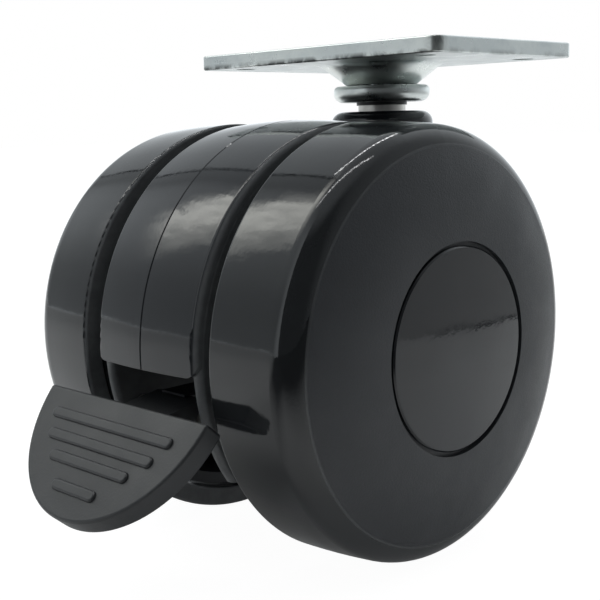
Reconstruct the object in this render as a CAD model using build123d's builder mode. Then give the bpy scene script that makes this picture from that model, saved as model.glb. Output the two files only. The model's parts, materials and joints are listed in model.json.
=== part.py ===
from build123d import *
from math import cos, hypot, radians, sin
import os

os.makedirs("parts", exist_ok=True)

# Swivel chair caster with twin wheels, a top plate and a foot brake.
# Millimetres. Origin: centre of the plate's top face, on the swivel axis.
# +Z up, +X the travel direction, Y along the axle. side = +1 is the left wheel, -1 the right.

# ---- driving dimensions ----
TRAIL = 31.3            # swivel axis to axle, measured along X
AXLE_Z = -68.0          # axle height below the plate's top face
CLEAR = 0.02            # radial room between pieces fixed in one body
RUN_CLEAR = 0.06        # radial room of a running fit

PLATE_X = 56.0
PLATE_Y = 79.0
PLATE_T = 3.7
PLATE_CORNER_R = 2.5
PLATE_EDGE_R = 0.45
HOLE_R = 2.6
HOLE_SPACING_X = 40.0
HOLE_SPACING_Y = 60.0
CONE_TOP_R = 15.95
CONE_BASE_R = 9.2
CONE_BASE_Z = -8.9
CONE_FLARE = 1.5        # length over which the cone's root blends into the plate
DIMPLE_TOP_R = 13.2
DIMPLE_FLOOR_R = 8.8
DIMPLE_FLOOR_Z = -4.6

BALL_R = 1.25
BALL_COUNT = 14
BALL_PITCH_R = 7.0
BALL_Z = -9.03
TRACK_R = 1.35

NECK_R = 4.5            # king pin through the plate
STEM_R = 6.15           # king pin in the housing
STEM_SHOULDER_Z = -14.1
STEM_END_Z = -47.0
RING_GROOVE_TOP_Z = -41.9
RING_GROOVE_BASE_Z = -43.3
RING_GROOVE_R = 5.45
HEAD_R = 7.7
HEAD_UNDER_Z = -3.65
HEAD_TOP_Z = -0.7
WASHER_R = 8.3
WASHER_T = 0.8
COLLAR_R = 12.4
COLLAR_TOP_Z = -9.15
COLLAR_BASE_Z = -13.3
COLLAR_EDGE_R = 1.2
COLLAR_BASE_EDGE_R = 2.3
SEAL_R = 6.55

BOSS_R = 13.2
BOSS_TOP_Z = -15.7
BOSS_BASE_Z = -51.0
BOSS_EDGE_R = 3.0
SLEEVE_R = 7.6
SLEEVE_TOP_Z = -17.2
SOCKET_R = 7.1
SOCKET_END_Z = -48.0

HOOD_HALF_W = 17.0
HOOD_MID_R = 50.6
HOOD_SIDE_R = 49.8
HOOD_EDGE_R = 1.5
HOOD_CORNER_R = 3.0     # rounding of the rear edge's two corners
HOOD_IN_R = 47.4
HOOD_REAR_DEG = 182.6   # from +X, over the top, down to the rear edge
HOOD_FRONT_DEG = -25.0
SEAM_HALF_W = 0.25
SEAM_DEPTH = 0.2
CHEEK_T = 3.0
CHEEK_R = 48.2
CHEEK_EDGE_R = 1.3
CHEEK_BASE = -27.0      # lower edge of the cheeks, from the axle
AXLE_TUBE_R = 9.0
WEB_T = 3.0

AXLE_R = 4.0
AXLE_HALF_L = 45.4
CLIP_IN = 43.55
CLIP_T = 1.0
CLIP_GROOVE_R = 3.3
CLIP_R = 7.2
HUB_WASHER_R = 8.5
HUB_WASHER_T = 1.2

TREAD_IN = 21.5         # inner end of the tread, from the mid-plane
TREAD_R = 50.0
TREAD_OUT = 38.6        # where the running surface ends and the shoulder starts
TREAD_OUT_R = 49.1
SHOULDER = 44.1         # where the shoulder meets the matte face
RIM_R = 44.3
RIM_IN_R = 41.5
RIM_IN = 23.2
FACE = 48.1
CAP_POCKET_R = 23.7
CAP_SEAT_R = 22.5
CAP_SEAT = 46.9
POCKET_FLOOR = 43.2
HUB_IN = 18.6
HUB_R = 9.5
BUSH_R = 5.6
RIB_COUNT = 12
RIB_T = 1.8
BRAKE_RING_R = 29.0
BRAKE_RING_IN_R = 26.4
BRAKE_RING_IN = 21.9
BRAKE_RING_OUT = 33.0
TOOTH_COUNT = 24
TOOTH_TIP_R = 32.9
TOOTH_PHASE_DEG = 13.0  # a gap faces the pressed brake bar
TOOTH_ROOT_HALF_W = 1.25
TOOTH_TIP_HALF_W = 0.85
CAP_R = 22.7
CAP_DOME = 0.9
CAP_FLAT_R = 1.0        # small flat at the middle of the dome

PIVOT = (-40.0, -14.0)  # pedal pivot, (x, z) from the axle
PIVOT_PIN_R = 2.0
PIVOT_BOSS_R = 4.2
BAR = (-28.0, -22.0)    # brake bar with the pedal released
BAR_PRESSED = (-26.42, -18.86)
BAR_R = 2.0
BAR_BOSS_R = 4.0
BAR_HALF_L = 27.8
SLOT_R = 2.7
PAD_EDGE = (-55.5, -8.5)
PAD_SLOPE_DEG = 49.3
PAD_LENGTH = 28.0
PAD_HALF_W = 27.5
PAD_T = 5.0
PAD_SKIN_T = 2.4
PAD_WALL_T = 2.4
PAD_EDGE_R = 0.7
RIDGES = [(6.1, 21.0), (11.0, 18.4), (15.5, 13.8), (21.3, 7.6)]
RIDGE_W = 2.6
RIDGE_H = 0.65
RIDGE_EDGE_R = 0.6
ARM_HALF_W = 8.0
ARM_WALL_T = 2.6
LEAF_Z = -9.45          # underside of the leaf, from the axle
LEAF_T = 0.5
LEAF_HALF_W = 4.0
LEAF_END = -42.0
LUG_X = (-30.0, -24.0)  # cross lug that the leaf is fixed to
LUG_H = 5.0

AXLE_AXIS = Axis((-TRAIL, 0, AXLE_Z), (0, 1, 0))


def side_plane(offset=0.0):
    """Plane across the axle: local x is +X, local y is +Z, centred on the axle."""
    return Plane(origin=(-TRAIL, offset, AXLE_Z), x_dir=(1, 0, 0), z_dir=(0, -1, 0))


def radial_plane(angle=90.0):
    """Plane through the axle: local x is +Y, local y is the radius at this angle from +X."""
    turn = radians(angle)
    return Plane(
        origin=(-TRAIL, 0, AXLE_Z), x_dir=(0, 1, 0), z_dir=(sin(turn), 0, -cos(turn))
    )


def finish(solid, name):
    solid.label = name
    export_step(solid, f"parts/{name}.step")


def ring_about_z(outer, inner, top, base):
    with BuildPart() as ring:
        with BuildSketch(Plane.XY.offset(base)):
            Circle(outer)
            Circle(inner, mode=Mode.SUBTRACT)
        extrude(amount=top - base)
    return ring.part


# ---- top plate: pressed sheet with a hollow cone and the upper ball track ----
cone_length = hypot(CONE_TOP_R - CONE_BASE_R, PLATE_T + CONE_BASE_Z)
flare_r = CONE_TOP_R - CONE_FLARE * (CONE_TOP_R - CONE_BASE_R) / cone_length
flare_z = -PLATE_T + CONE_FLARE * (PLATE_T + CONE_BASE_Z) / cone_length
with BuildPart() as top_plate:
    with BuildSketch(Plane.XY.offset(-PLATE_T)):
        RectangleRounded(PLATE_X, PLATE_Y, PLATE_CORNER_R)
    extrude(amount=PLATE_T)
    for face in (top_plate.faces().sort_by(Axis.Z)[0], top_plate.faces().sort_by(Axis.Z)[-1]):
        fillet(face.edges(), PLATE_EDGE_R)
    with BuildSketch(Plane.XZ):
        with BuildLine():
            Polyline(
                (CONE_TOP_R + CONE_FLARE, -PLATE_T),
                (CONE_TOP_R + CONE_FLARE, -0.5 * PLATE_T),
                (0, -0.5 * PLATE_T),
                (0, CONE_BASE_Z),
                (CONE_BASE_R, CONE_BASE_Z),
                (flare_r, flare_z),
            )
            TangentArc(
                (CONE_TOP_R + CONE_FLARE, -PLATE_T), (flare_r, flare_z), tangent=(-1, 0)
            )
        make_face()
    revolve(axis=Axis.Z)
    with BuildSketch(Plane.XZ):
        with BuildLine():
            Polyline(
                (0, 0),
                (DIMPLE_TOP_R, 0),
                (DIMPLE_FLOOR_R, DIMPLE_FLOOR_Z),
                (0, DIMPLE_FLOOR_Z),
                close=True,
            )
        make_face()
    revolve(axis=Axis.Z, mode=Mode.SUBTRACT)
    with BuildSketch(Plane.XY.offset(CONE_BASE_Z)):
        Circle(NECK_R + RUN_CLEAR)
        with GridLocations(HOLE_SPACING_X, HOLE_SPACING_Y, 2, 2):
            Circle(HOLE_R)
    extrude(amount=-CONE_BASE_Z, mode=Mode.SUBTRACT)
    with BuildSketch(Plane.XZ):
        with Locations((BALL_PITCH_R, BALL_Z)):
            Circle(TRACK_R)
    revolve(axis=Axis.Z, mode=Mode.SUBTRACT)
finish(top_plate.part, "top_plate")

# ---- ball set ----
with BuildPart() as race_balls:
    with PolarLocations(BALL_PITCH_R, BALL_COUNT):
        with Locations((0, 0, BALL_Z)):
            Sphere(BALL_R)
finish(race_balls.part, "race_balls")

# ---- king pin: riveted head, neck through the plate, stem into the housing ----
with BuildPart() as kingpin:
    with BuildSketch(Plane.XZ):
        with BuildLine():
            Spline((0, HEAD_TOP_Z), (5.0, HEAD_TOP_Z - 0.5), (HEAD_R, HEAD_UNDER_Z + 1.2))
            Polyline(
                (HEAD_R, HEAD_UNDER_Z + 1.2),
                (HEAD_R, HEAD_UNDER_Z),
                (NECK_R, HEAD_UNDER_Z),
                (NECK_R, STEM_SHOULDER_Z),
                (STEM_R, STEM_SHOULDER_Z),
                (STEM_R, RING_GROOVE_TOP_Z),
                (RING_GROOVE_R, RING_GROOVE_TOP_Z),
                (RING_GROOVE_R, RING_GROOVE_BASE_Z),
                (STEM_R, RING_GROOVE_BASE_Z),
                (STEM_R, STEM_END_Z + 0.8),
                (STEM_R - 0.8, STEM_END_Z),
                (0, STEM_END_Z),
                (0, HEAD_TOP_Z),
            )
        make_face()
    revolve(axis=Axis.Z)
finish(kingpin.part, "kingpin")

finish(
    ring_about_z(WASHER_R, NECK_R + CLEAR, HEAD_UNDER_Z, HEAD_UNDER_Z - WASHER_T),
    "head_washer",
)

# ---- lower race collar ----
with BuildPart() as race_collar:
    with BuildSketch(Plane.XZ) as collar:
        with Locations((0.5 * (NECK_R + CLEAR + COLLAR_R), 0.5 * (COLLAR_TOP_Z + COLLAR_BASE_Z))):
            Rectangle(COLLAR_R - NECK_R - CLEAR, COLLAR_TOP_Z - COLLAR_BASE_Z)
        fillet(collar.vertices().group_by(Axis.X)[-1].sort_by(Axis.Y)[0], COLLAR_BASE_EDGE_R)
        fillet(collar.vertices().group_by(Axis.X)[-1].sort_by(Axis.Y)[-1], COLLAR_EDGE_R)
    revolve(axis=Axis.Z)
    with BuildSketch(Plane.XZ):
        with Locations((BALL_PITCH_R, BALL_Z)):
            Circle(TRACK_R)
    revolve(axis=Axis.Z, mode=Mode.SUBTRACT)
finish(race_collar.part, "race_collar")

finish(
    ring_about_z(SEAL_R, NECK_R + CLEAR, COLLAR_BASE_Z, STEM_SHOULDER_Z),
    "dust_seal",
)

# ---- housing: hood over the wheel gap, two cheeks, stem boss, axle tube ----
with BuildPart() as housing:
    hood_span = HOOD_REAR_DEG - HOOD_FRONT_DEG
    with BuildSketch(radial_plane(HOOD_FRONT_DEG)):
        with BuildLine():
            Polyline(
                (-HOOD_HALF_W, HOOD_SIDE_R - HOOD_EDGE_R),
                (-HOOD_HALF_W, HOOD_IN_R),
                (HOOD_HALF_W, HOOD_IN_R),
                (HOOD_HALF_W, HOOD_SIDE_R - HOOD_EDGE_R),
            )
            RadiusArc(
                (HOOD_HALF_W, HOOD_SIDE_R - HOOD_EDGE_R),
                (HOOD_HALF_W - HOOD_EDGE_R, HOOD_SIDE_R),
                -HOOD_EDGE_R,
            )
            ThreePointArc(
                (HOOD_HALF_W - HOOD_EDGE_R, HOOD_SIDE_R),
                (0.5 * HOOD_HALF_W, 0.35 * HOOD_SIDE_R + 0.65 * HOOD_MID_R),
                (SEAM_HALF_W, HOOD_MID_R),
            )
            Polyline(
                (SEAM_HALF_W, HOOD_MID_R),
                (0, HOOD_MID_R - SEAM_DEPTH),
                (-SEAM_HALF_W, HOOD_MID_R),
            )
            ThreePointArc(
                (-SEAM_HALF_W, HOOD_MID_R),
                (-0.5 * HOOD_HALF_W, 0.35 * HOOD_SIDE_R + 0.65 * HOOD_MID_R),
                (HOOD_EDGE_R - HOOD_HALF_W, HOOD_SIDE_R),
            )
            RadiusArc(
                (HOOD_EDGE_R - HOOD_HALF_W, HOOD_SIDE_R),
                (-HOOD_HALF_W, HOOD_SIDE_R - HOOD_EDGE_R),
                -HOOD_EDGE_R,
            )
        make_face()
    revolve(axis=AXLE_AXIS, revolution_arc=-hood_span)
    rear_z = AXLE_Z + HOOD_MID_R * sin(radians(HOOD_REAR_DEG))
    with BuildSketch(Plane.YZ.offset(-TRAIL - HOOD_MID_R - 1)):
        with Locations((HOOD_HALF_W, rear_z), (-HOOD_HALF_W, rear_z)):
            Rectangle(2 * HOOD_CORNER_R, 2 * HOOD_CORNER_R)
        for side in (-1, 1):
            with Locations((side * (HOOD_HALF_W - HOOD_CORNER_R), rear_z + HOOD_CORNER_R)):
                Circle(HOOD_CORNER_R, mode=Mode.SUBTRACT)
    extrude(amount=HOOD_MID_R - HOOD_IN_R + 2, mode=Mode.SUBTRACT)
    for side in (-1, 1):
        with BuildSketch(radial_plane()):
            with Locations((side * (HOOD_HALF_W - 0.5 * CHEEK_T), 0.5 * CHEEK_R)):
                cheek = Rectangle(CHEEK_T, CHEEK_R)
            fillet(cheek.vertices().group_by(Axis.Y)[-1], CHEEK_EDGE_R)
        revolve(axis=AXLE_AXIS)
    with BuildSketch(side_plane()):
        with Locations((0, CHEEK_BASE - CHEEK_R)):
            Rectangle(2.2 * CHEEK_R, 2 * CHEEK_R)
    extrude(amount=HOOD_HALF_W + 1, both=True, mode=Mode.SUBTRACT)
    with BuildSketch(side_plane()):
        Circle(AXLE_TUBE_R)
    extrude(amount=HOOD_HALF_W, both=True)
    with BuildSketch(side_plane()):
        Polygon(
            (-6, 46.9), (-6, -4), (47.0, -4), (44.6, 15), (30, 36.4), (15, 44.8), align=None
        )
    extrude(amount=0.5 * WEB_T, both=True)
    with BuildSketch(side_plane()):
        with Locations((0.5 * sum(LUG_X), LEAF_Z + LEAF_T + 0.5 * LUG_H)):
            Rectangle(LUG_X[1] - LUG_X[0], LUG_H)
    extrude(amount=HOOD_HALF_W - 0.5, both=True)
    with BuildSketch(Plane.XY.offset(BOSS_BASE_Z)):
        Circle(BOSS_R)
    extrude(amount=BOSS_TOP_Z - BOSS_BASE_Z)
    fillet(
        housing.faces().sort_by(Axis.Z)[-1].edges(),
        BOSS_EDGE_R,
    )
    with BuildSketch(Plane.XY.offset(BOSS_TOP_Z)):
        Circle(STEM_R + 0.25)
    extrude(amount=SLEEVE_TOP_Z - BOSS_TOP_Z, mode=Mode.SUBTRACT)
    with BuildSketch(Plane.XY.offset(SLEEVE_TOP_Z)):
        Circle(SLEEVE_R + CLEAR)
    extrude(amount=RING_GROOVE_TOP_Z - SLEEVE_TOP_Z, mode=Mode.SUBTRACT)
    with BuildSketch(Plane.XY.offset(RING_GROOVE_TOP_Z)):
        Circle(SOCKET_R)
    extrude(amount=SOCKET_END_Z - RING_GROOVE_TOP_Z, mode=Mode.SUBTRACT)
    with BuildSketch(side_plane()):
        Circle(AXLE_R + CLEAR)
        with Locations(PIVOT):
            Circle(PIVOT_PIN_R + CLEAR)
    extrude(amount=HOOD_HALF_W + 1, both=True, mode=Mode.SUBTRACT)
    with BuildSketch(side_plane()):
        with Locations(BAR, BAR_PRESSED):
            Circle(SLOT_R)
        make_hull()
    extrude(amount=HOOD_HALF_W + 1, both=True, mode=Mode.SUBTRACT)
finish(housing.part, "housing")

finish(
    ring_about_z(SLEEVE_R, STEM_R + CLEAR, SLEEVE_TOP_Z, RING_GROOVE_TOP_Z),
    "stem_sleeve",
)

# ---- split ring that holds the stem under the sleeve ----
with BuildPart() as stem_ring:
    with BuildSketch(Plane.XY.offset(RING_GROOVE_BASE_Z)):
        Circle(SOCKET_R - CLEAR)
        Circle(RING_GROOVE_R + CLEAR, mode=Mode.SUBTRACT)
        with Locations((SOCKET_R, 0)):
            Rectangle(SOCKET_R, 2.0, mode=Mode.SUBTRACT)
    extrude(amount=RING_GROOVE_TOP_Z - RING_GROOVE_BASE_Z)
finish(stem_ring.part, "stem_ring")

# ---- axle and what sits on it ----
with BuildPart() as axle:
    with BuildSketch(side_plane()):
        Circle(AXLE_R)
    extrude(amount=AXLE_HALF_L, both=True)
    chamfer(axle.edges().filter_by(GeomType.CIRCLE), 0.5)
    for side in (-1, 1):
        with BuildSketch(side_plane(side * (CLIP_IN + 0.5 * CLIP_T))):
            Circle(AXLE_R + 1)
            Circle(CLIP_GROOVE_R, mode=Mode.SUBTRACT)
        extrude(amount=0.5 * CLIP_T, both=True, mode=Mode.SUBTRACT)
finish(axle.part, "axle")

for side, name in ((1, "left"), (-1, "right")):
    with BuildPart() as hub_washer:
        with BuildSketch(side_plane(side * (HOOD_HALF_W + 0.5 * HUB_WASHER_T))):
            Circle(HUB_WASHER_R)
            Circle(AXLE_R + CLEAR, mode=Mode.SUBTRACT)
        extrude(amount=0.5 * HUB_WASHER_T, both=True)
    finish(hub_washer.part, f"hub_washer_{name}")

    with BuildPart() as axle_clip:
        with BuildSketch(side_plane(side * (CLIP_IN + 0.5 * CLIP_T))):
            Circle(CLIP_R)
            Circle(AXLE_R + 1.2, mode=Mode.SUBTRACT)
            with Locations((0, AXLE_R), (AXLE_R, 0), (-AXLE_R, 0)):
                Rectangle(2.6, 2.6)
            with Locations((0, -CLIP_R)):
                Rectangle(AXLE_R, CLIP_R, mode=Mode.SUBTRACT)
            Circle(CLIP_GROOVE_R + CLEAR, mode=Mode.SUBTRACT)
        extrude(amount=0.5 * CLIP_T - CLEAR, both=True)
    finish(axle_clip.part, f"axle_clip_{name}")

# ---- wheels ----
for side, name in ((1, "left"), (-1, "right")):
    with BuildPart() as wheel_core:
        with BuildSketch(radial_plane()):
            with BuildLine():
                ThreePointArc(
                    (side * SHOULDER, RIM_R),
                    (side * (FACE - 1.1), 0.5 * (RIM_R + CAP_POCKET_R)),
                    (side * FACE, CAP_POCKET_R),
                )
                Polyline(
                    (side * FACE, CAP_POCKET_R),
                    (side * CAP_SEAT, CAP_POCKET_R),
                    (side * CAP_SEAT, CAP_SEAT_R),
                    (side * POCKET_FLOOR, CAP_SEAT_R),
                    (side * POCKET_FLOOR, BUSH_R),
                    (side * HUB_IN, BUSH_R),
                    (side * HUB_IN, HUB_R),
                    (side * (POCKET_FLOOR - 2.4), HUB_R + 1.2),
                    (side * (POCKET_FLOOR - 2.4), CAP_SEAT_R + 2.2),
                    (side * (FACE - 3.1), CAP_POCKET_R + 2.2),
                    (side * (SHOULDER - 2.8), RIM_IN_R),
                    (side * RIM_IN, RIM_IN_R),
                    (side * RIM_IN, RIM_R),
                    (side * SHOULDER, RIM_R),
                )
            make_face()
        revolve(axis=AXLE_AXIS)
        for k in range(RIB_COUNT):
            with BuildSketch(radial_plane(360.0 * k / RIB_COUNT)):
                Polygon(
                    (side * 26.0, HUB_R - 0.5),
                    (side * 34.0, RIM_IN_R + 0.7),
                    (side * (SHOULDER - 1.6), RIM_IN_R + 0.7),
                    (side * (FACE - 2.0), CAP_POCKET_R + 2.0),
                    (side * (POCKET_FLOOR - 1.2), CAP_SEAT_R + 1.0),
                    (side * (POCKET_FLOOR - 1.2), HUB_R - 0.5),
                    align=None,
                )
            extrude(amount=0.5 * RIB_T, both=True)
        with BuildSketch(side_plane(side * BRAKE_RING_IN)):
            Circle(BRAKE_RING_R)
            for k in range(TOOTH_COUNT):
                with Locations(Location((0, 0, 0), TOOTH_PHASE_DEG + 360.0 * k / TOOTH_COUNT)):
                    Polygon(
                        (BRAKE_RING_R - 1, -TOOTH_ROOT_HALF_W),
                        (TOOTH_TIP_R, -TOOTH_TIP_HALF_W),
                        (TOOTH_TIP_R, TOOTH_TIP_HALF_W),
                        (BRAKE_RING_R - 1, TOOTH_ROOT_HALF_W),
                        align=None,
                    )
            Circle(BRAKE_RING_IN_R, mode=Mode.SUBTRACT)
        extrude(amount=-side * (BRAKE_RING_OUT - BRAKE_RING_IN))
    finish(wheel_core.part, f"wheel_core_{name}")

    with BuildPart() as tread:
        with BuildSketch(radial_plane()):
            with BuildLine():
                Polyline(
                    (side * SHOULDER, RIM_R),
                    (side * (TREAD_IN + 1.5), RIM_R),
                    (side * TREAD_IN, RIM_R + 1.6),
                    (side * TREAD_IN, TREAD_R - 0.9),
                )
                ThreePointArc(
                    (side * TREAD_IN, TREAD_R - 0.9),
                    (side * (TREAD_IN + 0.26), TREAD_R - 0.26),
                    (side * (TREAD_IN + 0.9), TREAD_R),
                )
                ThreePointArc(
                    (side * (TREAD_IN + 0.9), TREAD_R),
                    (side * 0.5 * (TREAD_IN + TREAD_OUT), 0.5 * (TREAD_R + TREAD_OUT_R) + 0.2),
                    (side * TREAD_OUT, TREAD_OUT_R),
                )
                ThreePointArc(
                    (side * TREAD_OUT, TREAD_OUT_R),
                    (side * (SHOULDER - 1.65), TREAD_OUT_R - 1.75),
                    (side * SHOULDER, RIM_R),
                )
            make_face()
        revolve(axis=AXLE_AXIS)
    finish(tread.part, f"tread_{name}")

    with BuildPart() as axle_bush:
        with BuildSketch(side_plane(side * 0.5 * (HUB_IN + POCKET_FLOOR))):
            Circle(BUSH_R - CLEAR)
            Circle(AXLE_R + RUN_CLEAR, mode=Mode.SUBTRACT)
        extrude(amount=0.5 * (POCKET_FLOOR - HUB_IN), both=True)
    finish(axle_bush.part, f"axle_bush_{name}")

    with BuildPart() as hub_cap:
        with BuildSketch(radial_plane()):
            with BuildLine():
                Polyline(
                    (side * (FACE + CAP_DOME), CAP_FLAT_R),
                    (side * (FACE + CAP_DOME), 0),
                    (side * (CAP_SEAT + 0.9), 0),
                    (side * CAP_SEAT, CAP_SEAT_R - 2.0),
                    (side * (POCKET_FLOOR + 1.0), CAP_SEAT_R - 1.6),
                    (side * (POCKET_FLOOR + 1.0), CAP_SEAT_R - CLEAR),
                    (side * CAP_SEAT, CAP_SEAT_R - CLEAR),
                    (side * CAP_SEAT, CAP_R),
                    (side * (FACE - 0.35), CAP_R),
                    (side * FACE, CAP_R - 0.35),
                )
                TangentArc(
                    (side * (FACE + CAP_DOME), CAP_FLAT_R),
                    (side * FACE, CAP_R - 0.35),
                    tangent=(0, 1),
                )
            make_face()
        revolve(axis=AXLE_AXIS)
    finish(hub_cap.part, f"hub_cap_{name}")

# ---- foot pedal ----
slope = radians(PAD_SLOPE_DEG)
pad_plane = Plane(
    origin=(PAD_EDGE[0] - TRAIL, 0, PAD_EDGE[1] + AXLE_Z),
    x_dir=(-cos(slope), 0, -sin(slope)),
    z_dir=(-sin(slope), 0, cos(slope)),
)
with BuildPart() as pedal:
    with BuildSketch(pad_plane):
        Ellipse(PAD_LENGTH, PAD_HALF_W)
        with Locations((-PAD_LENGTH, 0)):
            Rectangle(2 * PAD_LENGTH, 2 * PAD_HALF_W, mode=Mode.SUBTRACT)
    extrude(amount=-PAD_T)
    fillet(pedal.edges(), PAD_EDGE_R)
    with BuildSketch(pad_plane.offset(-PAD_T)):
        Ellipse(PAD_LENGTH - PAD_WALL_T, PAD_HALF_W - PAD_WALL_T)
        with Locations((PAD_WALL_T - PAD_LENGTH, 0)):
            Rectangle(2 * PAD_LENGTH, 2 * PAD_HALF_W, mode=Mode.SUBTRACT)
    extrude(amount=PAD_T - PAD_SKIN_T, mode=Mode.SUBTRACT)
    with BuildSketch(side_plane()):
        Polygon(
            (-58.2, -14.0), (-57.0, -12.2), (-40, -9.8), (-40, -18.2), (-54, -21.0), (-64.6, -21.4),
            align=None,
        )
        with Locations(PIVOT):
            Circle(PIVOT_BOSS_R)
        with Locations(BAR):
            Circle(BAR_BOSS_R)
        Polygon(
            (-37.9, -10.8), (-26.1, -19.2), (-29.9, -24.8), (-42.1, -17.2),
            align=None,
        )
    extrude(amount=ARM_HALF_W, both=True)
    with BuildSketch(side_plane()):
        Polygon(
            (-47.0, -13.2), (-47.0, -24.0), (-67.0, -24.0), (-59.6, -15.0),
            align=None,
        )
    extrude(amount=ARM_HALF_W - ARM_WALL_T, both=True, mode=Mode.SUBTRACT)
    with BuildSketch(pad_plane):
        for distance, half_length in RIDGES:
            with Locations((distance, 0)):
                SlotOverall(2 * half_length, RIDGE_W, rotation=90)
    extrude(amount=RIDGE_H)
    fillet(pedal.edges().group_by(Axis(pad_plane.origin, pad_plane.z_dir))[-1], RIDGE_EDGE_R)
    with BuildSketch(side_plane()):
        with Locations(PIVOT):
            Circle(PIVOT_PIN_R + RUN_CLEAR)
        with Locations(BAR):
            Circle(BAR_R + CLEAR)
    extrude(amount=ARM_HALF_W + 1, both=True, mode=Mode.SUBTRACT)
finish(pedal.part, "pedal")

with BuildPart() as brake_bar:
    with BuildSketch(side_plane()):
        with Locations(BAR):
            Circle(BAR_R)
    extrude(amount=BAR_HALF_L, both=True)
    chamfer(brake_bar.edges().filter_by(GeomType.CIRCLE), 0.4)
finish(brake_bar.part, "brake_bar")

with BuildPart() as pedal_pin:
    with BuildSketch(side_plane()):
        with Locations(PIVOT):
            Circle(PIVOT_PIN_R)
    extrude(amount=HOOD_HALF_W - 0.1, both=True)
finish(pedal_pin.part, "pedal_pin")

# ---- leaf spring that bears on the pedal's pivot boss ----
with BuildPart() as pedal_leaf:
    with BuildSketch(side_plane()):
        with Locations((0.5 * (LEAF_END + LUG_X[1]), LEAF_Z + 0.5 * LEAF_T)):
            Rectangle(LUG_X[1] - LEAF_END, LEAF_T)
    extrude(amount=LEAF_HALF_W, both=True)
finish(pedal_leaf.part, "pedal_leaf")
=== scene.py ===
import json
import math

import bpy
from mathutils import Euler, Matrix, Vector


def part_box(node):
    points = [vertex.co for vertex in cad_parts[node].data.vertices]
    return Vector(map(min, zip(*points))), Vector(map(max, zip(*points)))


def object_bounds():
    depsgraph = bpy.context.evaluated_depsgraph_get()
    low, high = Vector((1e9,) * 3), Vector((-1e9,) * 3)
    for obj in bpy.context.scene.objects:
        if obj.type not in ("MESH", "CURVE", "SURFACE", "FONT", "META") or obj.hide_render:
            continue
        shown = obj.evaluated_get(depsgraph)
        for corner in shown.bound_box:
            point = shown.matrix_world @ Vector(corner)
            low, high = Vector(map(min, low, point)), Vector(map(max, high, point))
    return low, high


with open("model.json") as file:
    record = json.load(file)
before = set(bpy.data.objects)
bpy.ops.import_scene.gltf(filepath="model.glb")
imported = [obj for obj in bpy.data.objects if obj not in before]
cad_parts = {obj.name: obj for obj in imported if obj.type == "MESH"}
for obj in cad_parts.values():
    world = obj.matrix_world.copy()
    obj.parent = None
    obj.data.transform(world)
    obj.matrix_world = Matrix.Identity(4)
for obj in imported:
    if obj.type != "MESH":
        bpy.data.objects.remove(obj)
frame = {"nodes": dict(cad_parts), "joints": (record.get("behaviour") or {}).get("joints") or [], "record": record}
cad_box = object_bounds()

# Metres, in the row frame: origin on the plate's top face, +Z up, +X forward, pedal at -X.
FLOOR_Z = cad_box[0][2]
AXLE_AT = tuple(next(joint for joint in frame["joints"] if joint["name"] == "left_wheel_spin")["pos_m"])
PLATE_HALF = tuple(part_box("top_plate")[1])[:2]
DARK_EDGE_Z = (-0.0023, -0.0034)  # down the plate's edge, where the darkening starts and where it is full
DARK_EDGE_IN = (0.0016, 0.0004)  # the same, in from the plate's edge
SMUDGE_Z = -0.0012
SMUDGE_R = (0.0042, 0.0010)

# Where the plastic is a dull wall, lightened with painted light for the gaps: distances from the middle plane and
# from the axle.
HOOD_WALL_Y = (0.0160, 0.0168)
HOOD_INSIDE_R = (0.0490, 0.0484)
HUB_CAP_Y = (0.030, 0.025)
TREAD_WALL_Y = (0.0222, 0.0217)
TREAD_INSIDE_R = (0.0449, 0.0445)

# The camera: its place, its turns about X, Y and Z in degrees, its lens and sensor in millimetres.
CAMERA_AT = (-0.22327, -0.18878, -0.01866)
CAMERA_TURN = (81.203, 1.491, -45.061)
LENS_MM = 65.956
SENSOR_MM = 36.0
SHIFT = (0.0165, -0.0078)
CLIP_RANGE = (0.005, 40.0)

# The surround seen in reflections: (degrees, brightness). The dip at 85 degrees is a dark beam overhead.
BACK_WALL = [(0, 1.3), (12, 1.25), (22, 0.97), (32, 0.84), (43, 0.80), (54, 0.74), (64, 0.70),
             (84.3, 0.72), (84.7, 0.04), (85.9, 0.04), (86.3, 0.50), (94, 0.46), (100, 0.72), (108, 0.88),
             (120, 0.95), (132, 0.88), (143, 0.72), (155, 0.56), (165, 0.52), (173, 0.53), (180, 0.56)]
BACK_SLANT = 0.45
BACK_SLANT_FROM = 0.6
FRONT_WALL = [(0, 1.2), (18, 0.95), (35, 0.55), (55, 0.40), (80, 0.28), (98, 0.12), (180, 0.10)]
CEILING = 0.6
CEILING_Z = (0.75, 0.95)
BLEND_Y = (0.32, 0.02)  # where the back wall gives way to the front one
HORIZON_Z = (0.35, 0.0)  # down to the horizon that place moves back, by HORIZON_SHIFT
HORIZON_SHIFT = 0.12
# The daylight patch on the back wall: (degrees from its middle, brightness), its middle and its lean.
WINDOW = [(-17, 0.0), (-12, 0.7), (-6, 4.0), (-3, 4.3), (4, 3.3), (9, 1.9), (14, 1.3), (22, 0.0)]
WINDOW_AT = 115.0
WINDOW_LEAN = 50.0
WINDOW_LEAN_FROM = 0.66
WINDOW_NEAR_Y = (0.28, 0.50)
WINDOW_FAR_Y = (0.86, 0.70)
WINDOW_WISP = 4.0
WINDOW_TINT = (1.0, 1.0, 0.93)
# Two rows of small lamps overhead: the curve y = a + b x + c x^2 of their direction, and the span of x.
LAMPS = [((0.60, -1.25, 1.15), (0.08, 0.68)), ((0.02, -0.95, 0.0), (-0.30, 0.26))]
LAMP_PITCH = 0.038
LAMP_WIDTH = (0.024, 0.036)
LAMP_Z = (0.3, 0.5)
LAMP_GLOW = 14.0

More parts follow.
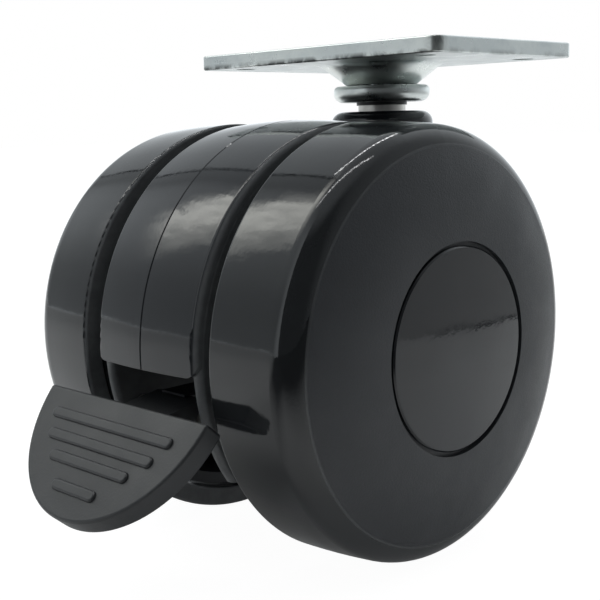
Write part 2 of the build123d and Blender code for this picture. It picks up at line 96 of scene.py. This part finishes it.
FLOOR_HALF = 6.0
FLOOR_GAP = 0.0002  # the paper lies this far below the wheels
FLOOR_GLOW = 0.28
FLOOR_JOINT_AT = 0.441  # as x - y, which grows to the camera's right
WHEELS_AT = (-0.04, 0.0, FLOOR_Z)
WHITE = (1.0, 1.0, 1.0)
DARK = (0.05, 0.05, 0.05)


def cool(value):
    """A grey with the surround's faint teal cast."""
    return (value * 0.95, value * 1.01, value * 1.05)


def times(tone, factor):
    """A colour made lighter or darker."""
    return tuple(channel * factor for channel in tone)


# ---------------------------------------------------------------- node helpers
class Net:
    """A material's or world's net of nodes, built by short calls that return an output socket."""

    def __init__(self, tree):
        self.tree = tree
        self.tree.nodes.clear()

    def node(self, kind, **settings):
        made = self.tree.nodes.new(kind)
        for key, value in settings.items():
            setattr(made, key, value)
        return made

    def link(self, output, target):
        self.tree.links.new(output, target)

    def put(self, value, target):
        """Links a socket, or sets a plain value."""
        if isinstance(value, bpy.types.NodeSocket):
            self.link(value, target)
        else:
            target.default_value = value

    def split(self, vector):
        """The x, y and z of a vector."""
        made = self.node("ShaderNodeSeparateXYZ")
        self.link(vector, made.inputs[0])
        return made.outputs

    def math(self, operation, a, b=0.0, clamp=False):
        made = self.node("ShaderNodeMath", operation=operation, use_clamp=clamp)
        self.put(a, made.inputs[0])
        self.put(b, made.inputs[1])
        return made.outputs[0]

    def product(self, first, *others):
        for other in others:
            first = self.math("MULTIPLY", first, other)
        return first

    def degrees(self, rise, run):
        """The angle of a direction, in degrees."""
        return self.product(self.math("ARCTAN2", rise, run), 180.0 / math.pi)

    def vector(self, operation, a, b):
        """A sum or product of vectors, or for DISTANCE the number between two points."""
        made = self.node("ShaderNodeVectorMath", operation=operation)
        self.put(a, made.inputs[0])
        self.put(b, made.inputs[1])
        return made.outputs["Value" if operation == "DISTANCE" else "Vector"]

    def scaled(self, colour, factor):
        made = self.node("ShaderNodeVectorMath", operation="SCALE")
        made.inputs[0].default_value = colour
        self.link(factor, made.inputs["Scale"])
        return made.outputs[0]

    def noise(self, coordinates, scale, detail=3.0, rough=0.5, distortion=0.0):
        made = self.node("ShaderNodeTexNoise")
        self.link(coordinates, made.inputs["Vector"])
        made.inputs["Scale"].default_value = scale
        made.inputs["Detail"].default_value = detail
        made.inputs["Roughness"].default_value = rough
        made.inputs["Distortion"].default_value = distortion
        return made.outputs["Fac"]

    def ramp(self, factor, stops, mode="LINEAR"):
        made = self.node("ShaderNodeValToRGB")
        made.color_ramp.interpolation = mode
        elements = made.color_ramp.elements
        while len(elements) < len(stops):
            elements.new(0.5)
        for element, (position, colour) in zip(elements, stops):
            element.position = position
            element.color = (*colour, 1.0)
        self.link(factor, made.inputs[0])
        return made.outputs[0]

    def remap(self, value, low, high, to_low=0.0, to_high=1.0, smooth=False):
        """Takes low..high to to_low..to_high, and holds the end values outside."""
        made = self.node("ShaderNodeMapRange")
        made.interpolation_type = "SMOOTHSTEP" if smooth else "LINEAR"
        self.put(value, made.inputs[0])
        for socket, number in zip(made.inputs[1:5], (low, high, to_low, to_high)):
            socket.default_value = number
        return made.outputs[0]

    def mix(self, factor, a, b):
        """Colour a where the factor is 0, colour b where it is 1."""
        made = self.node("ShaderNodeMix", data_type="RGBA")
        self.put(factor, made.inputs[0])
        for value, socket in ((a, made.inputs[6]), (b, made.inputs[7])):
            self.put((*value, 1.0) if isinstance(value, tuple) else value, socket)
        return made.outputs[2]

    def bump(self, height, distance, strength=1.0, normal=None):
        made = self.node("ShaderNodeBump")
        made.inputs["Distance"].default_value = distance
        made.inputs["Strength"].default_value = strength
        self.link(height, made.inputs["Height"])
        if normal is not None:
            self.link(normal, made.inputs["Normal"])
        return made.outputs[0]


def surface(name):
    """A new material: its net of nodes, its Principled shader and object coordinates."""
    material = bpy.data.materials.new(name)
    material.use_nodes = True
    net = Net(material.node_tree)
    shader = net.node("ShaderNodeBsdfPrincipled")
    output = net.node("ShaderNodeOutputMaterial")
    net.link(shader.outputs[0], output.inputs[0])
    place = net.node("ShaderNodeTexCoord").outputs["Object"]
    return material, net, shader, place


# ---------------------------------------------------------------- materials
def gloss_plastic(name, tone, wave, wall_y, inside_r, inside_dull_and_light=1.0, cap_y=None):
    """Polished moulded plastic: faint tone drift, handling haze, orange peel and a slow waviness.

    It turns dull, and a mottled lighter grey of painted light that stands in for light scattered into the gaps,
    over the distances `wall_y` from the middle plane and `inside_r` from the axle, and with `cap_y` it is polished
    again over those distances from the middle plane."""
    material, net, shader, place = surface(name)
    haze = (0.05, 0.14)
    speck_haze = 0.06
    dust_haze = 0.45
    aside = net.math("ABSOLUTE", net.split(place)["Y"])
    radius = net.vector("DISTANCE", net.vector("MULTIPLY", place, (1.0, 0.0, 1.0)), AXLE_AT)
    wall = net.remap(aside, *wall_y, smooth=True)
    inside = net.remap(radius, *inside_r, 0.0, inside_dull_and_light, smooth=True)
    dull = net.math("MAXIMUM", wall, inside)
    if cap_y:
        dull = net.product(dull, net.remap(aside, *cap_y))

    # Painted light: over the walls and inside, the colour is a mottled lighter grey that stands in for light
    # scattered into the gaps.
    gap_light_mottle = net.remap(net.noise(place, scale=300.0, detail=4.0, rough=0.6), 0.3, 0.7)
    painted_gap_light = net.mix(gap_light_mottle, (0.095, 0.099, 0.102), (0.135, 0.139, 0.142))
    drift = net.noise(place, scale=55.0, detail=4.0, rough=0.6)
    base = net.mix(net.remap(drift, 0.35, 0.7), tone, times(tone, 1.45))
    net.link(net.mix(dull, base, painted_gap_light), shader.inputs["Base Color"])

    smear = net.remap(net.noise(place, scale=130.0, detail=5.0, rough=0.65, distortion=0.6),
                      0.45, 0.8, *haze)
    specks = net.remap(net.noise(place, scale=2600.0, detail=2.0), 0.62, 0.8, 0.0, speck_haze)
    rough = net.math("ADD", net.math("ADD", smear, specks), net.product(dull, dust_haze))
    net.link(rough, shader.inputs["Roughness"])
    shader.inputs["IOR"].default_value = 1.5

    waviness = net.bump(net.noise(place, scale=42.0, detail=1.5), distance=0.0012 * wave, strength=0.35)
    peel = net.bump(net.noise(place, scale=900.0, detail=2.0), 0.00002, strength=0.5, normal=waviness)
    net.link(peel, shader.inputs["Normal"])
    return material


def matte_plastic(name, tone, rough, grain_scale, grain_depth):
    """Textured moulded plastic: spark-eroded grain, faint tone drift and rubbed spots."""
    material, net, shader, place = surface(name)
    drift = net.noise(place, scale=38.0, detail=5.0, rough=0.6)
    grain = net.noise(place, scale=grain_scale, rough=0.7)
    base = net.mix(net.remap(drift, 0.3, 0.75), tone, times(tone, 1.3))
    base = net.mix(net.remap(grain, 0.55, 0.85, 0.0, 0.6), base, times(tone, 1.9))
    net.link(base, shader.inputs["Base Color"])

    rub = net.noise(place, scale=90.0, detail=4.0, rough=0.6, distortion=0.5)
    net.link(net.remap(rub, 0.3, 0.8, rough + 0.05, rough - 0.06), shader.inputs["Roughness"])
    shader.inputs["IOR"].default_value = 1.5

    cells = net.node("ShaderNodeTexVoronoi")
    cells.inputs["Scale"].default_value = grain_scale * 0.6
    net.link(place, cells.inputs["Vector"])
    height = net.math("ADD", grain, net.product(cells.outputs["Distance"], 0.5))
    net.link(net.bump(height, grain_depth, strength=0.8), shader.inputs["Normal"])
    return material


def zinc_plate(name):
    """Zinc-plated pressed steel: mottled plating, faint grey stains, small dents, faces that point down darkened
    with painted shade.
    """
    material, net, shader, place = surface(name)
    x, y, z = net.split(place)
    mottle = net.noise(place, scale=140.0, detail=6.0, rough=0.65, distortion=0.4)
    cloud = net.noise(place, scale=45.0)
    base = net.mix(net.remap(cloud, 0.3, 0.7), (0.56, 0.60, 0.60), (0.76, 0.79, 0.76))
    base = net.mix(net.remap(mottle, 0.5, 0.75, 0.0, 0.4), base, (0.38, 0.43, 0.46))

    # Darker in broken lines along the plate's lower edges, and a smudge on one corner.
    edges = [net.remap(net.math("ABSOLUTE", along), *(half - inset for inset in DARK_EDGE_IN), 0.0, most)
             for along, half, most in zip((x, y), PLATE_HALF, (1.0, 0.35))]
    low_edge = net.product(net.math("MAXIMUM", *edges), net.remap(z, *DARK_EDGE_Z))
    broken = net.remap(net.noise(place, scale=160.0, detail=4.0, rough=0.65, distortion=0.5), 0.42, 0.58)
    corner = net.vector("DISTANCE", place, (-PLATE_HALF[0], -PLATE_HALF[1], SMUDGE_Z))
    smudge = net.product(net.remap(corner, *SMUDGE_R), net.remap(broken, 0.0, 1.0, 0.35, 1.0))
    dark_marks = net.math("MAXIMUM", net.product(low_edge, broken), smudge)
    base = net.mix(net.product(dark_marks, 0.9), base, (0.06, 0.065, 0.065))

    # Painted shade: faces that point down are darker.
    facing = net.split(net.node("ShaderNodeTexCoord").outputs["Normal"])["Z"]
    painted_underside_shade = net.remap(facing, -0.80, -0.98, 0.0, 0.6)
    net.link(net.mix(painted_underside_shade, base, (0.30, 0.34, 0.35)), shader.inputs["Base Color"])
    shader.inputs["Metallic"].default_value = 1.0
    rough = net.math("ADD", net.remap(mottle, 0.3, 0.75, 0.24, 0.42), net.product(dark_marks, 0.25))
    net.link(rough, shader.inputs["Roughness"])

    dents = net.bump(net.noise(place, scale=330.0, detail=4.0, rough=0.6), 0.00005, strength=0.5)
    pores = net.bump(net.noise(place, scale=2400.0, detail=2.0), 0.00001, strength=0.5, normal=dents)
    net.link(pores, shader.inputs["Normal"])
    return material


def turned_steel(name, tone, rough):
    """Turned or drawn steel: fine tool lines and dull patches."""
    material, net, shader, place = surface(name)
    stretch = net.node("ShaderNodeMapping")
    stretch.inputs["Scale"].default_value = (0.05, 0.05, 1.0)
    net.link(place, stretch.inputs["Vector"])
    tool_lines = net.noise(stretch.outputs[0], scale=5200.0, detail=2.0)
    patches = net.noise(place, scale=210.0, detail=4.0)
    net.link(net.mix(net.remap(patches, 0.4, 0.75), tone, times(tone, 0.72)), shader.inputs["Base Color"])
    shader.inputs["Metallic"].default_value = 1.0
    net.link(net.remap(patches, 0.3, 0.7, rough, rough + 0.14), shader.inputs["Roughness"])
    net.link(net.bump(tool_lines, 0.00001, strength=0.6), shader.inputs["Normal"])
    return material


def soft_plastic(name, tone, rough, depth):
    """Natural acetal or rubber: cloudy tone, low gloss, fine bump."""
    material, net, shader, place = surface(name)
    cloud = net.noise(place, scale=120.0, detail=4.0)
    net.link(net.mix(net.remap(cloud, 0.35, 0.7), tone, times(tone, 0.85)), shader.inputs["Base Color"])
    net.link(net.remap(cloud, 0.3, 0.7, rough, rough + 0.1), shader.inputs["Roughness"])
    net.link(net.bump(net.noise(place, scale=1900.0), depth, strength=0.6), shader.inputs["Normal"])
    return material


# For each material slot of the record: the function that makes its material, and what that is given.
FINISHES = {
    "zinc_plated_steel": (zinc_plate, {}),
    "bright_steel": (turned_steel, {"tone": (0.74, 0.72, 0.68), "rough": 0.30}),
    "bearing_steel": (turned_steel, {"tone": (0.62, 0.62, 0.64), "rough": 0.10}),
    "spring_steel": (turned_steel, {"tone": (0.05, 0.05, 0.055), "rough": 0.45}),
    "black_rubber": (soft_plastic, {"tone": (0.012, 0.012, 0.013), "rough": 0.35, "depth": 0.00002}),
    "acetal": (soft_plastic, {"tone": (0.62, 0.60, 0.55), "rough": 0.4, "depth": 0.00001}),
    "gloss_black_plastic": (gloss_plastic, {
        "tone": (0.010, 0.011, 0.013), "wave": 0.45,
        "wall_y": HOOD_WALL_Y, "inside_r": HOOD_INSIDE_R, "cap_y": HUB_CAP_Y}),
    "tread_black": (gloss_plastic, {
        "tone": (0.010, 0.011, 0.012), "wave": 0.3,
        "wall_y": TREAD_WALL_Y, "inside_r": TREAD_INSIDE_R, "inside_dull_and_light": 0.35}),
    "matte_black_plastic": (matte_plastic, {
        "tone": (0.022, 0.0235, 0.0265), "rough": 0.50, "grain_scale": 3200.0, "grain_depth": 0.00006}),
    "pedal_plastic": (matte_plastic, {
        "tone": (0.017, 0.018, 0.0195), "rough": 0.45, "grain_scale": 2200.0, "grain_depth": 0.00003}),
}


def dress_frame():
    """Gives every CAD node the finish of its material slot."""
    materials = {slot: make(slot, **settings) for slot, (make, settings) in FINISHES.items()}
    slots = {part["node"]: part["material_slot"] for part in frame["record"]["subparts"]}
    for name, piece in frame["nodes"].items():
        piece.data.materials.clear()
        piece.data.materials.append(materials[slots[name]])


# ---------------------------------------------------------------- room
def wall_stops(wall):
    """A wall's (degrees, brightness) pairs as the stops of a ramp over half a turn."""
    return [(degrees / 180.0, cool(brightness)) for degrees, brightness in wall]


def wall_light(net, x, y, z):
    """The walls of the room, by direction."""
    # At the back, +Y: by the angle from +X over the top to -X, slanted with y.
    slant = net.product(net.math("SUBTRACT", y, BACK_SLANT_FROM), BACK_SLANT)
    sweep = net.degrees(z, net.math("SUBTRACT", x, slant))
    back = net.ramp(net.math("DIVIDE", sweep, 180.0, clamp=True), wall_stops(BACK_WALL))
    # In front, -Y: by the compass direction from +X round to -X, under a plain ceiling.
    around = net.math("ARCTAN2", net.product(y, -1.0), x)
    half_turn = net.math("MULTIPLY", around, 1.0 / math.pi, clamp=True)
    front = net.ramp(half_turn, wall_stops(FRONT_WALL))
    front = net.mix(net.remap(z, *CEILING_Z, smooth=True), front, cool(CEILING))
    blend_at = net.math("SUBTRACT", y, net.remap(z, *HORIZON_Z, 0.0, HORIZON_SHIFT))
    return net.mix(net.remap(blend_at, *BLEND_Y, smooth=True), back, front)


def window_light(net, direction, x, y, z):
    """A soft, blotchy patch of daylight on the back wall."""
    ragged = net.noise(direction, scale=14.0, rough=0.6, distortion=0.8)
    wisp = net.remap(ragged, 0.3, 0.7, -WINDOW_WISP, WINDOW_WISP)
    lean = net.product(net.math("SUBTRACT", y, WINDOW_LEAN_FROM), WINDOW_LEAN)
    off_middle = net.math("SUBTRACT", net.math("ADD", net.degrees(z, x), wisp), WINDOW_AT)
    off_middle = net.math("SUBTRACT", off_middle, lean)
    low, high = WINDOW[0][0], WINDOW[-1][0]
    peak = max(brightness for _, brightness in WINDOW)
    stops = [((degrees - low) / (high - low), (brightness / peak,) * 3) for degrees, brightness in WINDOW]
    profile = net.ramp(net.remap(off_middle, low, high), stops, mode="EASE")
    near_end = net.remap(y, *WINDOW_NEAR_Y, smooth=True)
    far_end = net.remap(y, *WINDOW_FAR_Y, smooth=True)
    cloud = net.remap(net.noise(direction, scale=9.0, rough=0.6, distortion=1.2), 0.3, 0.7, 0.75, 1.15)
    return net.scaled(WINDOW_TINT, net.product(profile, near_end, far_end, cloud, peak))


def lamp_light(net, x, y, z, curve, span):
    """A row of small lamps: a thin curve cut into dots, faded at both ends and low down."""
    a, b, c = curve
    start, end = span
    bend = net.math("ADD", net.product(x, b), net.product(net.product(x, x), c))
    off_line = net.math("ABSOLUTE", net.math("SUBTRACT", net.math("SUBTRACT", y, a), bend))
    line = net.remap(off_line, *LAMP_WIDTH, 1.0, 0.0, smooth=True)
    off_dot = net.math("PINGPONG", x, 0.5 * LAMP_PITCH)
    dots = net.remap(off_dot, 0.3 * LAMP_PITCH, 0.2 * LAMP_PITCH, 0.12, 1.0, smooth=True)
    first = net.remap(x, start - 0.04, start + 0.02, smooth=True)
    last = net.remap(x, end + 0.04, end - 0.02, smooth=True)
    overhead = net.remap(z, *LAMP_Z)
    return net.scaled(WHITE, net.product(line, dots, first, last, overhead, LAMP_GLOW))


def studio_world():
    """The room: white to the camera, and to everything else a soft grey surround with one window."""
    world = bpy.data.worlds.new("studio")
    bpy.context.scene.world = world
    world.use_nodes = True
    net = Net(world.node_tree)
    direction = net.node("ShaderNodeTexCoord").outputs["Generated"]
    x, y, z = net.split(direction)
    room = net.vector("ADD", wall_light(net, x, y, z), window_light(net, direction, x, y, z))
    for curve, span in LAMPS:
        room = net.vector("ADD", room, lamp_light(net, x, y, z, curve, span))

    seen = net.node("ShaderNodeLightPath").outputs["Is Camera Ray"]
    glow = net.node("ShaderNodeBackground")
    net.link(net.mix(seen, room, WHITE), glow.inputs["Color"])
    glow.inputs["Strength"].default_value = 1.0
    output = net.node("ShaderNodeOutputWorld")
    net.link(glow.outputs[0], output.inputs[0])


# ---------------------------------------------------------------- floor
def make_matt(shader, roughness):
    """Takes the gloss off a Principled shader and makes its own glow white."""
    shader.inputs["Roughness"].default_value = roughness
    shader.inputs["Specular IOR Level"].default_value = 0.0
    shader.inputs["Emission Color"].default_value = (*WHITE, 1.0)


def white_paper(name):
    """Paper that the camera sees evenly lit, while reflections see it fall off across the room."""
    material, net, shader, place = surface(name)
    x, y, _ = net.split(place)
    distance = net.vector("DISTANCE", place, (0.0, 0.0, FLOOR_Z))

    # Behind the camera the floor is dark, past a line across the view.
    bearing = net.math("DIVIDE", y, distance)
    wedge = net.product(net.remap(bearing, 0.44, 0.2, 0.0, 0.12), net.remap(bearing, -0.4, -0.15))
    along_view = net.math("SUBTRACT", net.math("ADD", x, y), wedge)
    behind_camera = net.product(net.remap(along_view, -0.16, -0.42, smooth=True),
                                net.remap(bearing, 0.44, 0.12, smooth=True))

    # To the camera's right there is a dark joint, and the floor past it is dimmer.
    across_view = net.math("SUBTRACT", net.math("SUBTRACT", x, y), net.remap(x, 0.17, 0.30, 0.0, 0.06))
    past_joint = net.product(net.remap(across_view, 0.430, 0.445), net.remap(y, 0.05, -0.05))
    off_joint = net.math("ABSOLUTE", net.math("SUBTRACT", across_view, FLOOR_JOINT_AT))
    joint = net.product(net.remap(off_joint, 0.014, 0.006, smooth=True),
                        net.remap(x, 0.15, 0.23, 0.0, 0.9),
                        net.remap(y, -0.05, -0.10))

    # The glow that reflections see, dimmed where the room is darker, and dimmed near the wheels as a painted
    # contact shadow.
    glow = net.math("ADD", net.product(net.remap(y, 0.05, 0.35, smooth=True), 0.08), FLOOR_GLOW)
    distant = net.product(net.remap(distance, 0.2, 1.0), net.remap(x, 0.0, -0.2))
    from_wheels = net.vector("DISTANCE", place, WHEELS_AT)
    glow = net.product(glow,
                       net.remap(distant, 0.0, 1.0, 1.0, 0.1),
                       net.remap(y, -0.05, -0.20, 1.0, 0.4),
                       net.remap(past_joint, 0.0, 1.0, 1.0, 0.6),
                       net.remap(joint, 0.0, 1.0, 1.0, 0.0),
                       net.remap(behind_camera, 0.0, 1.0, 1.0, 0.08),
                       net.remap(from_wheels, 0.05, 0.13, 0.35, 1.0, smooth=True))
    net.link(glow, shader.inputs["Emission Strength"])

    fibre = net.remap(net.noise(place, scale=12.0), 0.3, 0.7)
    white = net.mix(fibre, (0.80, 0.80, 0.80), (0.84, 0.84, 0.84))
    white = net.mix(net.remap(past_joint, 0.0, 1.0, 0.0, 0.4), white, (0.1, 0.1, 0.1))
    white = net.mix(joint, white, DARK)
    net.link(net.mix(behind_camera, white, DARK), shader.inputs["Base Color"])
    make_matt(shader, roughness=0.9)

    lit = net.node("ShaderNodeBsdfPrincipled")
    lit.inputs["Base Color"].default_value = (0.12, 0.12, 0.12, 1.0)
    lit.inputs["Emission Strength"].default_value = 0.97
    make_matt(lit, roughness=1.0)
    either = net.node("ShaderNodeMixShader")
    net.link(net.node("ShaderNodeLightPath").outputs["Is Camera Ray"], either.inputs[0])
    net.link(shader.outputs[0], either.inputs[1])
    net.link(lit.outputs[0], either.inputs[2])
    output = next(node for node in net.tree.nodes if node.type == "OUTPUT_MATERIAL")
    net.link(either.outputs[0], output.inputs[0])
    return material


def studio_floor():
    """One large square of paper just below the wheels."""
    mesh = bpy.data.meshes.new("floor")
    corners = [(-1, -1), (1, -1), (1, 1), (-1, 1)]
    points = [(x * FLOOR_HALF, y * FLOOR_HALF, FLOOR_Z - FLOOR_GAP) for x, y in corners]
    mesh.from_pydata(points, [], [(0, 1, 2, 3)])
    mesh.materials.append(white_paper("floor"))
    floor = bpy.data.objects.new("floor", mesh)
    bpy.context.scene.collection.objects.link(floor)


# ---------------------------------------------------------------- camera
def photo_camera():
    """A long lens that looks past the pedal at the right wheel, from just below the plate's height."""
    data = bpy.data.cameras.new("camera")
    data.sensor_width = SENSOR_MM
    data.lens = LENS_MM
    data.shift_x, data.shift_y = SHIFT
    data.clip_start, data.clip_end = CLIP_RANGE
    camera = bpy.data.objects.new("camera", data)
    bpy.context.scene.collection.objects.link(camera)
    turn = Euler([math.radians(angle) for angle in CAMERA_TURN])
    camera.matrix_world = Matrix.Translation(CAMERA_AT) @ turn.to_matrix().to_4x4()
    bpy.context.scene.camera = camera


dress_frame()
studio_world()
studio_floor()
photo_camera()
bpy.context.scene.view_settings.view_transform = "Standard"
